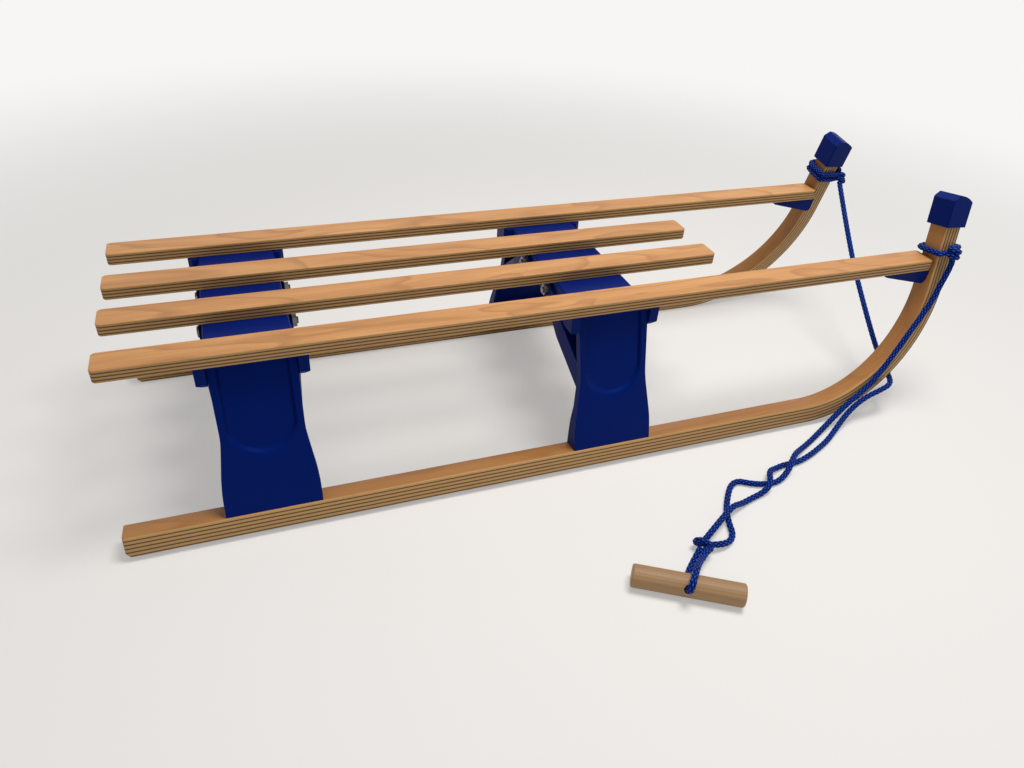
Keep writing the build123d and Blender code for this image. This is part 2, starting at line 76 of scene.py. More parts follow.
def meshFromGrid(name, grid, aroundClosed=True, endCaps=True, smoothAngle=40, facing=1):
    # grid[i, j] is a point: i counts rings along the piece, j goes round a ring
    # neighbours make four-sided faces, turned the other way when facing is negative
    rings, around = grid.shape[:2]
    ring = np.arange(rings - 1)[:, None] * around
    step = np.arange(around if aroundClosed else around - 1)[None, :]
    after = (step + 1) % around
    quads = np.stack([ring + step, ring + after, ring + around + after, ring + around + step], -1)
    quads = quads.reshape(-1, 4)
    if facing < 0:
        quads = quads[:, ::-1]
    faces = quads.tolist()
    if endCaps:
        first = list(range(around))
        last = [(rings - 1) * around + j for j in range(around)]
        faces += [first[::-1], last] if facing > 0 else [first, last[::-1]]
    mesh = bpy.data.meshes.new(name)
    mesh.from_pydata(grid.reshape(-1, 3).tolist(), [], faces)
    mesh.polygons.foreach_set("use_smooth", [True] * len(mesh.polygons))
    mesh.set_sharp_from_angle(angle=radians(smoothAngle))
    return mesh


def addAttribute(mesh, name, values):
    # one number or one triple for each point of the mesh
    values = np.asarray(values, np.float32)
    if values.ndim == 2:
        mesh.attributes.new(name, "FLOAT_VECTOR", "POINT").data.foreach_set("vector", values.ravel())
    else:
        mesh.attributes.new(name, "FLOAT", "POINT").data.foreach_set("value", values)


def addPiece(name, mesh, material, standsFor):
    # a new piece rides on the one body and stands for the solids named last
    piece = bpy.data.objects.new(name, mesh)
    bpy.context.scene.collection.objects.link(piece)
    mesh.materials.append(material)
    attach(piece, "root")
    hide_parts(*standsFor)
    return piece


def addNode(tree, kind, inputs=None, **settings):
    # inputs are sockets to join or values to set, settings are the node's own choices
    made = tree.nodes.new("ShaderNode" + kind)
    for key, value in settings.items():
        setattr(made, key, value)
    for key, value in (inputs or {}).items():
        if isinstance(value, bpy.types.NodeSocket):
            tree.links.new(value, made.inputs[key])
        else:
            made.inputs[key].default_value = value
    return made


def mathNode(tree, operation, *values):
    # one step of arithmetic on sockets or numbers
    return addNode(tree, "Math", dict(enumerate(values)), operation=operation).outputs[0]


def product(tree, first, second):
    # first times second
    return mathNode(tree, "MULTIPLY", first, second)


def scaled(tree, value, factor, offset):
    # value times factor, plus offset
    return mathNode(tree, "MULTIPLY_ADD", value, factor, offset)


def mixColour(tree, share, low, high):
    # share 0 gives low and 1 gives high, each a socket or three numbers
    low, high = ((*colour, 1) if isinstance(colour, tuple) else colour for colour in (low, high))
    return addNode(tree, "Mix", {0: share, 6: low, 7: high}, data_type="RGBA").outputs[2]


def rampNode(tree, value, stops):
    # stops are pairs: a place from 0 to 1 and the value there
    ramp = addNode(tree, "ValToRGB", {0: value})
    elements = ramp.color_ramp.elements
    while len(elements) < len(stops):
        elements.new(0.5)
    for element, (place, shade) in zip(elements, stops):
        element.position = place
        element.color = (shade, shade, shade, 1)
    return ramp.outputs[0]


def noiseNode(tree, place, fine, detail=3, roughness=0.5, distortion=0.0):
    # soft random patches; fine counts them per metre, as one number or as three along x, y and z
    if isinstance(fine, tuple):
        place, fine = stretched(tree, place, fine), 1.0
    return addNode(tree, "TexNoise", {"Vector": place, "Scale": fine, "Detail": detail,
                                      "Roughness": roughness, "Distortion": distortion}).outputs[0]


def stretched(tree, place, scales, shift=(0, 0, 0)):
    # place times scales, plus shift
    return addNode(tree, "Mapping", {"Vector": place, "Location": shift, "Scale": scales}).outputs[0]


def roundEdges(tree, radius):
    # the shading runs smoothly round every edge, as if it had this radius
    soft = addNode(tree, "Bevel", {"Radius": radius}, samples=4)
    bump = next(n for n in tree.nodes if n.type == "BUMP")
    tree.links.new(soft.outputs[0], bump.inputs["Normal"])


def newMaterial(name):
    # a material with its tree of nodes and its one shader
    material = bpy.data.materials.new(name)
    material.use_nodes = True
    tree = material.node_tree
    shader = next(n for n in tree.nodes if n.type == "BSDF_PRINCIPLED")
    return material, tree, shader


def setShader(tree, shader, colour, roughness, bumpHeight=None, bumpDistance=0.0, **constants):
    # constants are set on the shader's own sockets, with _ for a blank in the socket's name
    tree.links.new(colour, shader.inputs["Base Color"])
    tree.links.new(roughness, shader.inputs["Roughness"])
    if bumpHeight is not None:
        bump = addNode(tree, "Bump", {"Height": bumpHeight, "Strength": 1.0, "Distance": bumpDistance})
        tree.links.new(bump.outputs[0], shader.inputs["Normal"])
    for key, value in constants.items():
        shader.inputs[key.replace("_", " ")].default_value = value


# laminated wood under clear lacquer; lengths in metres
woodLook = {
    "faceLight": (0.68, 0.345, 0.130),
    "faceDark": (0.48, 0.215, 0.072),
    "ring": (0.35, 0.150, 0.048),
    "longPly": (0.48, 0.298, 0.118),
    "crossPly": (0.085, 0.042, 0.019),
    "crossPale": (0.1785, 0.0882, 0.038),
    "glue": (0.030, 0.015, 0.008),
    "plyPitch": 0.0040,      # one long ply and one cross ply
    "firstPly": 0.0030,
    "crossShare": 0.30,      # of the pitch
    "waver": 0.0008,         # the plies wander up and down by this much
    "veneer": 0.0005,        # the face's own colour goes this deep
    "thickness": 0.015,
    "slatTop": 0.223,        # height of the slats' faces
    "grainBump": 0.00005,
    "flames": 8,             # rings between the lightest and the darkest place of the figure
    "ringDepth": 0.60,
    "poreDepth": 0.30,
    "rough": (0.12, 0.34),   # how far the fibres change the roughness, and its least
    "waverFine": (5, 20, 20),        # patches per metre: along the grain, across it, through the plies
    "figureFine": (3.2, 26, 8),
    "flameFine": (3.1, 11, 5),
    "fibreFine": (14, 620, 300),
    "poreFine": (75, 1500, 900),
    "endFine": (900, 900, 700),
}
runnerLook = dict(woodLook, faceLight=(0.50, 0.235, 0.075), faceDark=(0.38, 0.165, 0.048),
                  longPly=(0.55, 0.345, 0.14), plyPitch=0.0049, firstPly=0.0034, crossShare=0.25,
                  thickness=0.026)


def makeWood(look, place, tree, shader):
    # place: x along the grain, y across, z depth below the top veneer, in metres
    # plies repeat with depth: long ply, thin glue line, dark end grain of the cross ply, glue line again
    below = addNode(tree, "SeparateXYZ", {0: place}).outputs[2]
    wave = noiseNode(tree, place, look["waverFine"], 2)
    depth = mathNode(tree, "ADD", below, scaled(tree, wave, look["waver"], -look["waver"] / 2))
    lowered = mathNode(tree, "SUBTRACT", depth, look["firstPly"])
    turn = mathNode(tree, "FRACT", mathNode(tree, "DIVIDE", lowered, look["plyPitch"]))
    fromBack = mathNode(tree, "SUBTRACT", look["thickness"], below)
    core = product(tree, mathNode(tree, "GREATER_THAN", below, look["veneer"]),
                   mathNode(tree, "GREATER_THAN", fromBack, look["veneer"]))
    inside = product(tree, mathNode(tree, "GREATER_THAN", lowered, 0.0), core)
    share = look["crossShare"]
    cross = rampNode(tree, turn, [(0.0, 0.0), (0.05, 1.0), (share, 1.0), (share + 0.06, 0.0)])
    glue = rampNode(tree, turn, [(0.0, 1.0), (0.07, 0.0), (share - 0.03, 0.0), (share + 0.03, 1.0),
                                 (share + 0.10, 0.0), (0.95, 0.0), (1.0, 1.0)])
    cross, glue = product(tree, cross, inside), product(tree, glue, inside)

    # the veneer is peeled from the log: its growth rings show as nested flames, each one darkening
    # slowly to a thin line
    figure = noiseNode(tree, place, look["figureFine"], 3, 0.55, 1.2)
    flames = noiseNode(tree, place, look["flameFine"], 2, 0.45, 0.5)
    ringTurn = mathNode(tree, "FRACT", product(tree, flames, look["flames"]))
    rings = rampNode(tree, ringTurn, [(0.0, 0.0), (0.70, 0.20), (0.93, 1.0), (1.0, 0.0)])
    grain = noiseNode(tree, place, look["fibreFine"], 4, 0.6)
    pores = rampNode(tree, noiseNode(tree, place, look["poreFine"], 2), [(0.30, 1.0), (0.42, 0.0)])
    endGrain = noiseNode(tree, place, look["endFine"])
    tone = mathNode(tree, "ADD", product(tree, figure, 0.55), product(tree, grain, 0.45))
    light = rampNode(tree, tone, [(0.36, 0.0), (0.64, 1.0)])
    face = mixColour(tree, light, look["faceDark"], look["faceLight"])
    face = mixColour(tree, product(tree, rings, look["ringDepth"]), face, look["ring"])
    face = mixColour(tree, product(tree, pores, look["poreDepth"]), face, look["faceDark"])
    ply = mixColour(tree, product(tree, grain, 0.4), look["longPly"], face)
    crossTone = mixColour(tree, endGrain, look["crossPly"], look["crossPale"])
    colour = mixColour(tree, cross, mixColour(tree, core, face, ply), crossTone)
    colour = mixColour(tree, product(tree, glue, 0.85), colour, look["glue"])
    roughness = mathNode(tree, "ADD", scaled(tree, grain, *look["rough"]), product(tree, cross, 0.18))
    hollows = product(tree, mathNode(tree, "ADD", pores, cross), 0.8)
    height = mathNode(tree, "SUBTRACT", grain, hollows)
    setShader(tree, shader, colour, roughness, height, look["grainBump"],
              Coat_Weight=0.08, Coat_Roughness=0.25, Specular_IOR_Level=0.22)


def slatWood(look):
    # depth is counted down from the slats' faces, which all lie at one height
    material, tree, shader = newMaterial("slatWood")
    source = addNode(tree, "TexCoord").outputs["Object"]
    makeWood(look, stretched(tree, source, (1, 1, -1), (0, 0, look["slatTop"])), tree, shader)
    return material


def runnerWood(look):
    # the bent runner carries its own places: along the bend, across, and depth below its upper face
    material, tree, shader = newMaterial("runnerWood")
    place = addNode(tree, "Attribute", attribute_name="grainPlace").outputs["Vector"]
    makeWood(look, place, tree, shader)
    return material


# blue moulded plastic
plasticLook = {
    "colour": (0.0006, 0.0080, 0.108),
    "pale": (0.0012, 0.0120, 0.150),
    "rub": (0.06, 0.09, 0.30),
    "shine": (0.06, 0.24, 1.0),
    "skinFine": 1100,        # grains of the moulded skin per metre
    "skinBump": 0.00004,
    "flowFine": (16, 9, 7),
    "scuffFine": (260, 30, 40),
    "rough": (0.12, 0.42),
    "edge": 0.0009,          # radius of the moulded edges
}

# the panel in the face of each leg
panelRelief = {
    "rear": -0.389,          # middles of the legs, along X
    "front": 0.032,
    "head": 0.203,           # heights and distances down the leaning face, in metres
    "lean": 15.5,            # degrees
    "roundFrom": 0.0681,
    "half": 0.0336,
    "border": 0.0044,
    "lowBorder": 0.0030,     # more border towards the round end
    "faceFrom": 0.1850,      # the leg's outer face lies beyond this, measured across plus slope times height
    "faceSlope": 0.2778,
    "depth": 0.0030,
}


def panelHeight(tree, place, relief):
    # distance from the panel's outline, straight at the sides and round below, turned into a soft step
    x, y, z = addNode(tree, "SeparateXYZ", {0: place}).outputs
    across = mathNode(tree, "MINIMUM", *[
        mathNode(tree, "ABSOLUTE", mathNode(tree, "SUBTRACT", x, relief[end])) for end in ("rear", "front")])
    drop = mathNode(tree, "SUBTRACT", relief["head"], z)
    down = mathNode(tree, "DIVIDE", drop, cos(radians(relief["lean"])))
    below = mathNode(tree, "MAXIMUM", mathNode(tree, "SUBTRACT", down, relief["roundFrom"]), 0.0)
    squares = [mathNode(tree, "POWER", length, 2.0) for length in (across, below)]
    distance = mathNode(tree, "SQRT", mathNode(tree, "ADD", *squares))
    border = scaled(tree, mathNode(tree, "DIVIDE", below, distance), relief["lowBorder"], relief["border"])
    share = mathNode(tree, "DIVIDE", mathNode(tree, "SUBTRACT", distance, relief["half"]), border)
    step = addNode(tree, "MapRange", {0: share, 3: -relief["depth"], 4: 0.0},
                   interpolation_type="SMOOTHSTEP").outputs[0]
    outward = scaled(tree, z, relief["faceSlope"], mathNode(tree, "ABSOLUTE", y))
    return product(tree, step, mathNode(tree, "GREATER_THAN", outward, relief["faceFrom"]))


def makePlastic(name, look, relief=None):
    # fine even grain of the mould, faint cloudy flow marks, a few light rubs, and softly rounded edges
    material, tree, shader = newMaterial(name)
    place = addNode(tree, "TexCoord").outputs["Object"]
    skin = noiseNode(tree, place, look["skinFine"], 2, 0.6)
    flow = noiseNode(tree, place, look["flowFine"], 3, 0.5, 0.8)
    scuffs = noiseNode(tree, place, look["scuffFine"], 5, 0.7)
    rubs = rampNode(tree, scuffs, [(0.66, 0.0), (0.80, 1.0)])
    colour = mixColour(tree, product(tree, flow, 0.8), look["colour"], look["pale"])
    colour = mixColour(tree, product(tree, rubs, 0.06), colour, look["rub"])
    roughness = mathNode(tree, "ADD", scaled(tree, flow, *look["rough"]), product(tree, rubs, 0.1))
    height = product(tree, skin, look["skinBump"])
    if relief:
        height = mathNode(tree, "ADD", height, panelHeight(tree, place, relief))
    setShader(tree, shader, colour, roughness, height, 1.0, Specular_IOR_Level=0.2,
              Specular_Tint=(*look["shine"], 1))
    roundEdges(tree, look["edge"])
    return material


# running strips of rolled steel
steelLook = {
    "colour": (0.42, 0.42, 0.43),
    "worn": (0.62, 0.62, 0.62),
    "dull": (0.20, 0.185, 0.17),
    "rough": (0.22, 0.24),
    "bump": 0.00002,
    "lineFine": (5, 1900, 260),
    "wearFine": (9, 60, 20),
    "dullFine": 38,
}


def makeStripSteel(look):
    # rolled steel brushed by sliding: fine lines along the runner, brighter worn streaks and dull patches
    material, tree, shader = newMaterial("stripSteel")
    place = addNode(tree, "TexCoord").outputs["Object"]
    lines = noiseNode(tree, place, look["lineFine"], 4, 0.6)
    streaks = rampNode(tree, noiseNode(tree, place, look["wearFine"]), [(0.35, 0.0), (0.65, 1.0)])
    dull = rampNode(tree, noiseNode(tree, place, look["dullFine"], 4, 0.6), [(0.52, 0.0), (0.68, 1.0)])
    colour = mixColour(tree, streaks, look["colour"], look["worn"])
    colour = mixColour(tree, product(tree, dull, 0.45), colour, look["dull"])
    roughness = mathNode(tree, "ADD", scaled(tree, lines, *look["rough"]), product(tree, dull, 0.2))
    setShader(tree, shader, colour, roughness, lines, look["bump"], Metallic=1.0)
    return material


# plated bolts and nuts
zincLook = {
    "colour": (0.27, 0.26, 0.245),
    "dull": (0.12, 0.115, 0.105),
    "rough": (0.28, 0.22),
    "bump": 0.00002,
    "crystalFine": 420,
    "filmFine": 90,
}


def makeZinc(look):
    # zinc plating: soft mottling of small crystals and a dull film in places
    material, tree, shader = newMaterial("zincSteel")
    place = addNode(tree, "TexCoord").outputs["Object"]
    mottle = noiseNode(tree, place, look["crystalFine"], 3, 0.6)
    film = rampNode(tree, noiseNode(tree, place, look["filmFine"]), [(0.40, 0.0), (0.70, 1.0)])
    colour = mixColour(tree, film, look["colour"], look["dull"])
    roughness = scaled(tree, mottle, *look["rough"])
    setShader(tree, shader, colour, roughness, mottle, look["bump"], Metallic=1.0)
    return material


# the turned grip and its place on the ground
gripLook = {
    "light": (0.42, 0.258, 0.130),
    "dark": (0.30, 0.175, 0.082),
    "fleck": (0.17, 0.09, 0.042),
    "centre": (0.0202, -0.3998, 0.013),
    "turn": -30.2,           # degrees, seen from above
    "rough": (0.16, 0.44),
    "bump": 0.00006,
    "streakFine": (7, 170, 210),
    "fleckFine": (130, 900, 1300),
    "ringFine": (1.5, 70, 34),
}


def makeGripWood(look):
    # plain sawn hardwood turned on a lathe: streaks along the grain, short dark flecks, faint growth rings
    material, tree, shader = newMaterial("gripWood")
    source = addNode(tree, "TexCoord").outputs["Object"]
    turned = {"Vector": source, "Location": look["centre"], "Rotation": (0, 0, radians(look["turn"]))}
    centred = addNode(tree, "Mapping", turned, vector_type="TEXTURE").outputs[0]
    streak = noiseNode(tree, centred, look["streakFine"], 4, 0.6, 0.6)
    flecks = rampNode(tree, noiseNode(tree, centred, look["fleckFine"], 2), [(0.26, 1.0), (0.38, 0.0)])
    growth = {"Vector": stretched(tree, centred, look["ringFine"]), "Scale": 1.6, "Distortion": 3.0,
              "Detail": 2.0, "Detail Scale": 0.6}
    rings = addNode(tree, "TexWave", growth, bands_direction="Y").outputs["Fac"]
    tone = mathNode(tree, "ADD", product(tree, streak, 0.7), product(tree, rings, 0.3))
    colour = mixColour(tree, rampNode(tree, tone, [(0.18, 0.0), (0.82, 1.0)]), look["dark"], look["light"])
    colour = mixColour(tree, product(tree, flecks, 0.4), colour, look["fleck"])
    roughness = scaled(tree, streak, *look["rough"])
    height = mathNode(tree, "SUBTRACT", streak, flecks)
    setShader(tree, shader, colour, roughness, height, look["bump"],
              Coat_Weight=0.05, Coat_Roughness=0.35, Specular_IOR_Level=0.3)
    return material


# braided cord
ropeLook = {
    "diameter": 0.008,
    "strands": 6,            # each way round
    "crossing": 0.0036,      # metres along the cord from one crossing to the next
    "ridge": 0.32,           # how deep the gaps between strands go, as a share of the radius
    "ringGap": 0.0005,       # metres between the rings of points that make the tube
    "around": 48,            # points in each ring
    "bright": (0.002, 0.022, 0.30),
    # colour where the strands dive: painted shade
    "dark": (0.0002, 0.0007, 0.009),
    # painted highlight on the crests of the strands
    "paintedGlint": (0.08, 0.29, 0.92),
    "shine": (0.15, 0.36, 1.0),
    "rough": (0.20, 0.38),
    "bump": 0.00008,
    "filamentFine": (0.9, 16, 1.0),  # per crossing along a strand, and across it
}


def makeRopeYarn(look):
    # strands bright on top and darkened with painted shade where they dive, with a painted highlight on each
    # crest; each is a bundle of fine filaments with its own tint
    material, tree, shader = newMaterial("ropeYarn")
    lift = addNode(tree, "Attribute", attribute_name="lift").outputs["Fac"]
    yarn = addNode(tree, "Attribute", attribute_name="yarnPlace").outputs["Vector"]
    tint = addNode(tree, "SeparateXYZ", {0: yarn}).outputs[2]
    filaments = noiseNode(tree, yarn, look["filamentFine"], 3, 0.6)
    # painted shade: the colour darkens from the crests towards the gaps
    rise = rampNode(tree, lift, [(0.35, 0.0), (0.92, 1.0)])
    shade = product(tree, rise, scaled(tree, filaments, 0.7, 0.55))
    shade = product(tree, shade, scaled(tree, tint, 0.5, 0.72))
    colour = mixColour(tree, shade, look["dark"], look["bright"])
    # painted highlight on each strand's crest
    crest = rampNode(tree, lift, [(0.84, 0.0), (0.98, 1.0)])
    paintedGlint = product(tree, crest, scaled(tree, filaments, 1.2, -0.05))
    colour = mixColour(tree, product(tree, paintedGlint, 0.85), colour, look["paintedGlint"])
    roughness = scaled(tree, filaments, *look["rough"])
    setShader(tree, shader, colour, roughness, filaments, look["bump"], Specular_IOR_Level=0.18,
              Specular_Tint=(*look["shine"], 1))
    return material


def nurbsLine(name, route):
    # the route's points are the control points of one smooth open spline; its line comes back as points
    curve = bpy.data.curves.new(name, "CURVE")
    curve.dimensions = "3D"
    curve.resolution_u = 12
    spline = curve.splines.new("NURBS")
    spline.points.add(len(route) - 1)
    spline.points.foreach_set("co", np.c_[np.array(route, float), np.ones(len(route))].ravel())
    spline.order_u = 3
    spline.use_endpoint_u = True
    holder = bpy.data.objects.new(name, curve)
    mesh = bpy.data.meshes.new_from_object(holder)
    line = np.zeros(len(mesh.vertices) * 3)
    mesh.vertices.foreach_get("co", line)
    bpy.data.meshes.remove(mesh)
    bpy.data.objects.remove(holder)
    bpy.data.curves.remove(curve)
    return line.reshape(-1, 3)


def lineLength(line):
    # the sum of its steps
    return float(np.linalg.norm(np.diff(line, axis=0), axis=1).sum())


def braidedTube(name, line, look, axis, rounded):
    # points round the line, at a radius that is full where a strand passes over and less where two part
    # u and v count the strands of the two ways round: both grow with the angle, u with the length and
    # v against it
    # axis is a direction that the line never takes, and a rounded tube closes to a dome at its far end
    gaps = np.linalg.norm(np.diff(line, axis=0), axis=1)
    along = np.concatenate([[0], np.cumsum(gaps)])
    at = np.linspace(0, along[-1], ceil(along[-1] / look["ringGap"]) + 1)
    middle = np.stack([np.interp(at, along, line[:, k]) for k in range(3)], 1)
    for _ in range(3):
        middle[1:-1] = (middle[:-2] + 2 * middle[1:-1] + middle[2:]) / 4
    tangent = np.gradient(middle, axis=0)
    tangent /= np.linalg.norm(tangent, axis=1)[:, None]
    side = np.cross(np.array(axis, float), tangent)
    side /= np.linalg.norm(side, axis=1)[:, None]
    other = np.cross(tangent, side)
    angle = np.arange(look["around"]) / look["around"] * 2 * pi
    turnShare = look["strands"] * angle[None, :] / (2 * pi)
    lengthShare = at[:, None] / (2 * look["crossing"])
    u, v = turnShare + lengthShare, turnShare - lengthShare
    ridgeU = np.sqrt(np.maximum(0, 1 - (2 * (u % 1) - 1) ** 2))
    ridgeV = np.sqrt(np.maximum(0, 1 - (2 * (v % 1) - 1) ** 2))
    overU = (1 + np.cos(pi * (np.floor(u) + v - 0.5))) / 2
    overV = (1 - np.cos(pi * (np.floor(v) + u - 0.5))) / 2
    liftU, liftV = ridgeU * overU, ridgeV * overV
    lift = np.maximum(liftU, liftV)
    top = liftU >= liftV
    radius = look["diameter"] / 2 * (1 - look["ridge"] * (1 - lift))
    if rounded:
        past = np.clip(1 - (at[-1] - at) / (look["diameter"] / 2), 0, 0.995)
        radius *= np.sqrt(1 - past ** 2)[:, None]
    grid = (middle[:, None, :] + radius[..., None] * (np.cos(angle)[None, :, None] * side[:, None, :]
                                                     + np.sin(angle)[None, :, None] * other[:, None, :]))
    mesh = meshFromGrid(name, grid, smoothAngle=80)
    # a fixed scatter gives each strand its own tint
    number = np.where(top, np.floor(u), np.floor(v) + 17) % look["strands"]
    tint = (np.sin(number * 12.9898 + 4.1) * 43758.5453) % 1
    yarn = np.stack([np.where(top, v, u), np.where(top, u % 1, v % 1), tint], -1)
    addAttribute(mesh, "lift", lift.ravel())
    addAttribute(mesh, "yarnPlace", yarn.reshape(-1, 3))
    return mesh


# routes in metres, at the places of the solids' own routes; the bight has more points where it folds
ropeRightRoute = [
    (0.5265, -0.1558, 0.232), (0.529, -0.157, 0.2255), (0.528, -0.158, 0.2155), (0.525, -0.159, 0.2025),
    (0.5205, -0.1605, 0.1885), (0.5155, -0.1625, 0.166), (0.487, -0.1699, 0.122),
    (0.461, -0.1771, 0.082), (0.436, -0.1827, 0.051), (0.405, -0.1865, 0.03), (0.38, -0.193, 0.014),
    (0.3485, -0.2065, 0.005), (0.3215, -0.2205, 0.0042), (0.2975, -0.2315, 0.0045),
    (0.2805, -0.242, 0.0113), (0.2725, -0.2475, 0.0128), (0.2615, -0.2565, 0.0128),
    (0.253, -0.265, 0.0102), (0.2345, -0.2755, 0.0043), (0.2185, -0.2795, 0.0042),
    (0.2015, -0.2765, 0.0042), (0.1875, -0.2705, 0.0042), (0.1755, -0.2625, 0.0043),
    (0.1625, -0.2665, 0.0042), (0.1495, -0.2805, 0.0042), (0.1365, -0.2975, 0.0042),
    (0.1275, -0.3125, 0.0042), (0.1215, -0.3285, 0.0042), (0.1175, -0.3415, 0.0042),
    (0.1075, -0.3515, 0.005), (0.091, -0.3555, 0.0085), (0.076, -0.354, 0.0115)]
ropeLeftRoute = [
    (0.55, 0.109, 0.2355), (0.524, 0.016, 0.16), (0.508, -0.066, 0.101), (0.497, -0.128, 0.059),
    (0.484, -0.172, 0.05), (0.474, -0.185, 0.048), (0.455, -0.1885, 0.044), (0.428, -0.1895, 0.036),
    (0.403, -0.194, 0.021), (0.375, -0.208, 0.0068), (0.3485, -0.2245, 0.0042),
    (0.3235, -0.2365, 0.0042), (0.2965, -0.2475, 0.0042), (0.2735, -0.2535, 0.0042),
    (0.2535, -0.2525, 0.0042), (0.2365, -0.2565, 0.005), (0.225, -0.262, 0.0102),
    (0.2175, -0.2685, 0.0128), (0.2115, -0.2795, 0.0128), (0.205, -0.288, 0.0102),
    (0.1925, -0.2915, 0.0044), (0.1745, -0.2955, 0.0044), (0.1555, -0.3015, 0.0057),
    (0.14, -0.307, 0.0125), (0.13, -0.312, 0.0128), (0.118, -0.319, 0.0128), (0.098, -0.331, 0.012),
    (0.075, -0.3455, 0.0118)]


def byGrip(along, away, height):
    # a place by the grip: along its axis, away from it towards the knot, and up
    turn = radians(gripLook["turn"])
    x, y, _ = gripLook["centre"]
    return (x + along * cos(turn) - away * sin(turn), y + along * sin(turn) + away * cos(turn), height)


ropeBightRoute = [
    byGrip(0.0215, 0.062, 0.011), byGrip(0.0165, 0.044, 0.014), byGrip(0.0105, 0.026, 0.023),
    byGrip(0.006, 0.008, 0.032), byGrip(0.0032, -0.0066, 0.0325), byGrip(0.002, -0.0115, 0.0325),
    byGrip(0.0013, -0.0153, 0.0295), byGrip(0.0007, -0.0165, 0.0248), byGrip(0, -0.0144, 0.0204),
    byGrip(0, -0.0101, 0.0182), byGrip(0, 0.0172, 0.0043), byGrip(0.003, 0.03, 0.0043),
    byGrip(0.0085, 0.046, 0.005), byGrip(0.015, 0.062, 0.009)]

# how the runners and their horns lean inward, each about the inner lower edge of its runner
stance = {
    "tilt": 10.2,            # degrees
    "innerY": 0.1585,        # that edge, from the middle of the sled
    "lift": -0.000708,       # and its height
}
# a horn where the cord is tied round it
hornTie = {
    **stance,
    "middleX": 0.5313,       # middle of the horn at its top
    "top": 0.300,
    "rake": 4.0,             # degrees from upright, seen from the side
    "halfX": 0.0173,         # half the horn and half the cord on it, fore and aft
    "halfY": 0.0183,         # the same, across
    "middleY": 0.014,        # middle of the horn, outward from its inner face
    "corner": 0.003,         # from a corner to its two control points
    "pitch": 0.0084,         # from turn to turn
}
# each tie: its start by the horn, turns round the horn, and a knot of close turns round the strand
rightTie = {
    "side": -1,
    "start": (0.002, 0.0215, 0.236),
    "low": 0.2325,           # height of the first turn, along the lean
    "turns": 1,
    "first": 1,              # corner of the horn that it starts from
    "backwards": False,
    "knot": {"centre": (0.5265, -0.1554, 0.237), "towards": (-0.1, -0.1, -0.99), "radius": 0.0066,
             "pitch": 0.0074, "turns": 1.75, "start": 2.6},
    "tail": [],
}
leftTie = {
    "side": 1,
    "start": (0.024, -0.012, 0.246),
    "low": 0.245,
    "turns": 2,
    "first": 0,
    "backwards": True,
    "knot": {"centre": (0.551, 0.1137, 0.241), "towards": (-0.1, -0.45, -0.9), "radius": 0.0066,
             "pitch": 0.0074, "turns": 1.5, "start": 0.6},
    "tail": [(0.560, 0.107, 0.236)],
}
# the loop that holds the strands together at the grip
gripTie = {
    "start": [byGrip(0.0155, 0.040, 0.0155), byGrip(0.0190, 0.050, 0.0155)],
    "knot": {"centre": (0.0705, -0.349, 0.0112), "towards": (0.503, 0.864, 0), "radius": 0.0068,
             "pitch": 0.0170, "turns": 0.875, "start": 0.15, "wide": 1.35},
    "axis": (0.503, 0.864, 0.02),
}


def leaned(shape, side, out, up):
    # y and z of a place that is out from the runner's inner face and up along it, turned by the tilt
    lean = radians(shape["tilt"])
    return (side * (shape["innerY"] + out * cos(lean) - up * sin(lean)),
            shape["lift"] + out * sin(lean) + up * cos(lean))


def onHorn(horn, side, x, across, height):
    # a place by a horn: x ahead of the horn's middle, across outward from its middle, height along the lean
    middleX = horn["middleX"] - (horn["top"] - height) * tan(radians(horn["rake"]))
    return (middleX + x, *leaned(horn, side, horn["middleY"] + across, height))


def coilAround(centre, towards, radius, pitch, turns, start, wide=1.0):
    # control points of a helix about a line; wide stretches it sideways
    turnPoints = 8           # in each turn
    axis = np.array(towards, float) / np.linalg.norm(towards)
    across = np.cross(axis, (0, 0, 1)) if abs(axis[2]) < 0.9 else np.cross(axis, (0, 1, 0))
    across /= np.linalg.norm(across)
    rise = np.cross(across, axis)
    step = np.arange(int(round(turns * turnPoints)) + 1) / turnPoints
    angle = start + step * 2 * pi
    along = (step - turns / 2) * pitch
    points = (np.array(centre) + along[:, None] * axis + radius * wide * np.cos(angle)[:, None] * across
              + radius * np.sin(angle)[:, None] * rise)
    return [tuple(point) for point in points]


def wrapPoints(horn, tie):
    # round the horn's four corners, two control points a corner, climbing one pitch a turn
    x, y, inset = horn["halfX"], horn["halfY"], horn["corner"]
    corners = [(x - inset, y), (-x + inset, y), (-x, y - inset), (-x, -y + inset), (-x + inset, -y),
               (x - inset, -y), (x, -y + inset), (x, y - inset)]
    if tie["backwards"]:
        corners = [(px, -py) for px, py in corners]
    points = []
    for index in range(tie["turns"] * len(corners)):
        px, py = corners[(tie["first"] + index) % len(corners)]
        points.append(onHorn(horn, tie["side"], px, py, tie["low"] + index / len(corners) * horn["pitch"]))
    return points


def tieLine(name, horn, tie):
    # from its start round the horn, then round the strand, and on to its tail
    return nurbsLine(name, [onHorn(horn, tie["side"], *tie["start"])] + wrapPoints(horn, tie)
                     + coilAround(**tie["knot"]) + tie["tail"])


rope = makeRopeYarn(ropeLook)
rightLine = nurbsLine("rightLine", ropeRightRoute)
leftLine = nurbsLine("leftLine", ropeLeftRoute)
bightLine = nurbsLine("bightLine", ropeBightRoute)
rightTieLine = tieLine("rightTieLine", hornTie, rightTie)
leftTieLine = tieLine("leftTieLine", hornTie, leftTie)
gripKnotLine = nurbsLine("gripKnotLine", gripTie["start"] + coilAround(**gripTie["knot"]))

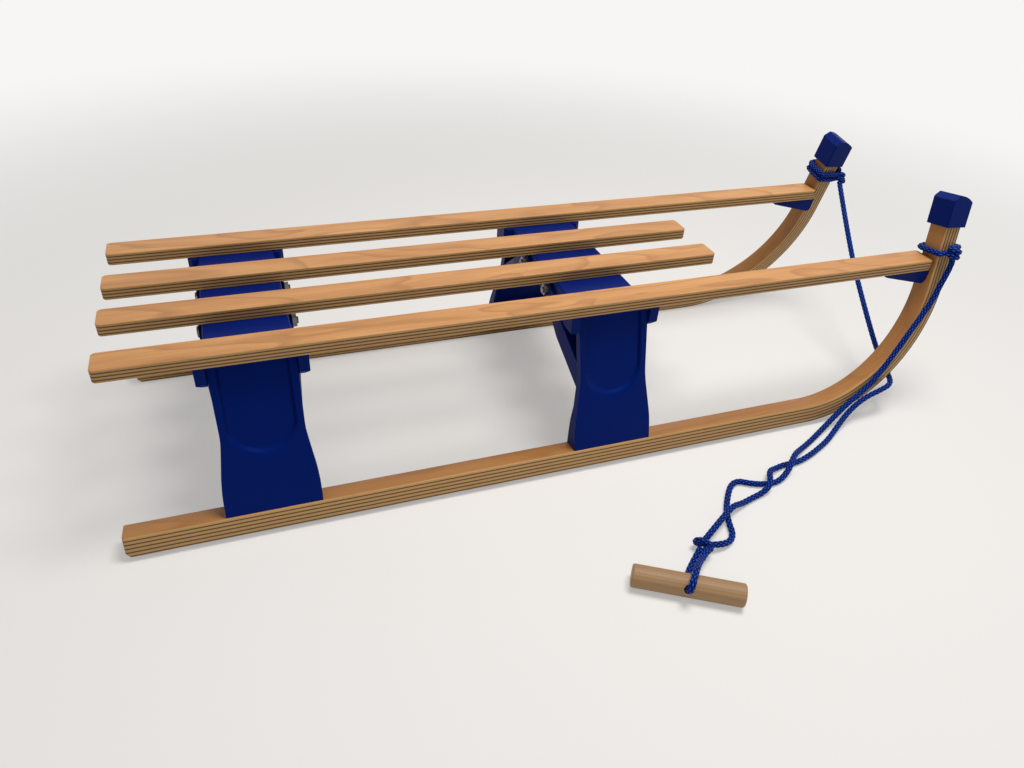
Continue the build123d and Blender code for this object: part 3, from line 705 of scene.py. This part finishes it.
hornSlope, hornLean = tan(radians(hornTie["rake"])), radians(hornTie["tilt"])
gripTurn = radians(gripLook["turn"])
for name, line, axis, rounded, node in (
        ("tieRight", rightTieLine, (hornSlope, sin(hornLean), cos(hornLean)), True, "rope_tie_right"),
        ("tieLeft", leftTieLine, (hornSlope, -sin(hornLean), cos(hornLean)), True, "rope_tie_left"),
        ("gripKnot", gripKnotLine, gripTie["axis"], True, "rope_knot"),
        ("ropeRight", rightLine, (0, 0, 1), False, "rope_right"),
        ("ropeLeft", leftLine, (0, 0, 1), False, "rope_left"),
        ("ropeBight", bightLine, (cos(gripTurn), sin(gripTurn), 0), False, "rope_bight")):
    addPiece(name, braidedTube(name, line, ropeLook, axis, rounded), rope, [node])

print("cords:", [round(lineLength(line), 3) for line in (rightLine, leftLine, bightLine)])


# one runner, bent from flat into its horn; lengths in metres
runnerShape = {
    **stance,
    "rear": -0.548,
    "low": 0.00215,          # underside above the ground, along the lean
    "width": 0.028,
    "thickness": 0.026,
    "edge": 0.0022,          # radius of the long edges
    "tailChamfer": 0.005,
    "outerRadius": 0.198,    # of the bend, at the underside
    "bend": 86.0,            # degrees
    "hornTop": 0.300,
    "front": 0.5443,
    "grainShift": 0.31,      # keeps the two runners' figures apart
    "steps": {"flat": 24, "bend": 61, "horn": 8, "corner": 5},
}


def runnerMesh(name, shape, side):
    # a rounded rectangle carried along a path that runs flat, bends up by an arc and goes on straight
    # the path is the underside: along is its length, swing how far it has turned, after what is past the bend
    turn = radians(shape["bend"])
    centreZ = shape["low"] + shape["outerRadius"]
    endHeight = centreZ - shape["outerRadius"] * cos(turn)
    straight = (shape["hornTop"] - endHeight) / sin(turn)
    bendX = shape["front"] - shape["outerRadius"] * sin(turn) - straight * cos(turn)
    flatLength = bendX - shape["rear"]
    arcLength = shape["outerRadius"] * turn
    edge, chamfer, steps = shape["edge"], shape["tailChamfer"], shape["steps"]
    corner = np.linspace(0, pi / 2, steps["corner"])
    along = np.concatenate([edge * (1 - np.cos(corner)),
                            np.linspace(chamfer, flatLength, steps["flat"]),
                            flatLength + np.linspace(0, arcLength, steps["bend"])[1:],
                            flatLength + arcLength + np.linspace(0, straight, steps["horn"])[1:]])
    swing = np.clip((along - flatLength) / shape["outerRadius"], 0, turn)
    after = np.maximum(along - flatLength - arcLength, 0)
    baseX = (shape["rear"] + np.minimum(along, flatLength) + shape["outerRadius"] * np.sin(swing)
             + after * cos(turn))
    baseZ = shape["low"] + shape["outerRadius"] * (1 - np.cos(swing)) + after * sin(turn)
    inwardX, inwardZ = -np.sin(swing), np.cos(swing)

    # the section: four rounded corners, narrower at the tail's round end and cut off below it
    halfWidth, halfDepth = shape["width"] / 2, shape["thickness"] / 2
    sections = []
    for px, pz, start in ((1, -1, -pi / 2), (1, 1, 0), (-1, 1, pi / 2), (-1, -1, pi)):
        sections.append(np.stack([px * (halfWidth - edge) + edge * np.cos(start + corner),
                                  pz * (halfDepth - edge) + edge * np.sin(start + corner)], 1))
    section = np.concatenate(sections)
    squeeze = edge - np.sqrt(np.maximum(0, edge ** 2 - np.maximum(0, edge - along) ** 2))
    across = section[None, :, 0] * (1 - squeeze / halfWidth)[:, None]
    raised = np.maximum(0, chamfer - along)[:, None]
    depthUp = section[None, :, 1] + halfDepth
    depthUp = raised + depthUp * (shape["thickness"] - raised) / shape["thickness"]
    x = baseX[:, None] + inwardX[:, None] * depthUp
    z = baseZ[:, None] + inwardZ[:, None] * depthUp
    grid = np.stack([x, *leaned(shape, side, across + halfWidth, z)], -1)
    mesh = meshFromGrid(name, grid, smoothAngle=35, facing=-side)
    place = np.stack([np.broadcast_to(along[:, None], across.shape), across + side * shape["grainShift"],
                      shape["thickness"] - depthUp], -1)
    addAttribute(mesh, "grainPlace", place.reshape(-1, 3))
    return mesh


runnerTimber = runnerWood(runnerLook)
for side, hand in ((1, "left"), (-1, "right")):
    name = "bentRunner_" + hand
    addPiece(name, runnerMesh(name, runnerShape, side), runnerTimber, ["runner_" + hand])
print("runners made")


# finishes of the solids that stay as they are, by the start of their names
blueMoulding = makePlastic("blueMoulding", plasticLook)
finishes = {
    "slat_": slatWood(woodLook),
    "horn_": blueMoulding,
    "beam_": blueMoulding,
    "leg_": makePlastic("blueLegMoulding", plasticLook, panelRelief),
    "running_strip": makeStripSteel(steelLook),
    "brace_": makeZinc(zincLook),
    "handle": makeGripWood(gripLook),
}
for nodeName, node in cadNodes.items():
    for start, material in finishes.items():
        if nodeName.startswith(start):
            if not node.material_slots:
                node.data.materials.append(material)
            for held in node.material_slots:
                held.material = material
print("finishes given")


# pale floor and soft light
stageLook = {
    "floor": (0.86, 0.85, 0.84),
    "backdrop": (1.0, 0.99, 0.97),
    "seen": 0.93,            # strength of the backdrop that camera and mirrors see
    "world": 0.25,           # strength of the light all round
    "glow": 0.35,            # share of plain backdrop on the floor near the object
    "clear": (0.65, 2.1),    # metres: from here to there the floor turns into the backdrop
    "reach": 9,              # metres from the middle of the floor to its edges
    "squares": 12,           # along each of them
    "cloud": 0.985,          # the floor's darkest patches, as a share of its colour
    "cloudFine": 1.3,
    "rough": (0.05, 0.85),
}


def makeFloor(look):
    # a wide flat sheet, lit near the object so that it keeps the shadow, and far away as plain as the
    # backdrop: the share of plain light grows with the distance, smoothly from start to end
    edge = np.linspace(-look["reach"], look["reach"], look["squares"] + 1)
    x, y = np.meshgrid(edge, edge, indexing="ij")
    mesh = meshFromGrid("floor", np.stack([x, y, np.zeros_like(x)], -1), False, False, facing=-1)
    floor = bpy.data.objects.new("floor", mesh)
    bpy.context.scene.collection.objects.link(floor)
    material, tree, shader = newMaterial("paleFloor")
    place = addNode(tree, "TexCoord").outputs["Object"]
    cloud = noiseNode(tree, place, look["cloudFine"])
    colour = mixColour(tree, cloud, tuple(look["cloud"] * part for part in look["floor"]), look["floor"])
    setShader(tree, shader, colour, scaled(tree, cloud, *look["rough"]), Specular_IOR_Level=0.2)
    plain = addNode(tree, "Emission", {"Color": (*look["backdrop"], 1), "Strength": look["seen"]})
    away = addNode(tree, "VectorMath", {0: place}, operation="LENGTH").outputs["Value"]
    start, end = look["clear"]
    share = addNode(tree, "MapRange", {0: away, 1: start, 2: end, 3: look["glow"], 4: 1.0},
                    interpolation_type="SMOOTHSTEP").outputs[0]
    ray = addNode(tree, "LightPath").outputs["Is Camera Ray"]
    shown = product(tree, ray, share)
    even = addNode(tree, "MixShader", {0: shown, 1: shader.outputs[0], 2: plain.outputs[0]})
    through = addNode(tree, "BsdfTransparent")
    back = addNode(tree, "NewGeometry").outputs["Backfacing"]
    mixed = addNode(tree, "MixShader", {0: back, 1: even.outputs[0], 2: through.outputs[0]})
    out = next(n for n in tree.nodes if n.type == "OUTPUT_MATERIAL")
    tree.links.new(mixed.outputs[0], out.inputs["Surface"])
    mesh.materials.append(material)


def makeWorld(look):
    # soft even light all round; the camera and mirrors see it as a pale wall
    world = bpy.data.worlds.new("studio")
    bpy.context.scene.world = world
    world.use_nodes = True
    tree = world.node_tree
    ray = addNode(tree, "LightPath").outputs
    mirrored = mathNode(tree, "MAXIMUM", ray["Is Glossy Ray"], ray["Is Transmission Ray"])
    seen = mathNode(tree, "MAXIMUM", ray["Is Camera Ray"], mirrored)
    strength = scaled(tree, seen, look["seen"] - look["world"], look["world"])
    back = next(n for n in tree.nodes if n.type == "BACKGROUND")
    back.inputs["Color"].default_value = (*look["backdrop"], 1)
    tree.links.new(strength, back.inputs["Strength"])


# metres and watts
lamps = {
    "keyLamp": {"place": (0.35, -0.20, 1.95), "aim": (0.1, 0, 0.1), "size": 0.8, "power": 30,
                "colour": (1.0, 0.97, 0.93)},
    "fillLamp": {"place": (-1.2, -2.0, 1.9), "aim": (0, 0, 0.1), "size": 1.2, "power": 5,
                 "colour": (0.95, 0.97, 1.0)},
}


def makeLamps(table):
    # square lamps, each turned from its place to face its aim
    for name, row in table.items():
        data = bpy.data.lights.new(name, "AREA")
        data.shape = "SQUARE"
        data.size = row["size"]
        data.energy = row["power"]
        data.color = row["colour"]
        lamp = bpy.data.objects.new(name, data)
        bpy.context.scene.collection.objects.link(lamp)
        way = Vector(row["aim"]) - Vector(row["place"])
        turn = way.to_track_quat("-Z", "Y").to_matrix().to_4x4()
        lamp.matrix_world = Matrix.Translation(row["place"]) @ turn


makeFloor(stageLook)
makeWorld(stageLook)
makeLamps(lamps)
bpy.context.scene.view_settings.view_transform = "Standard"
print("stage lit")
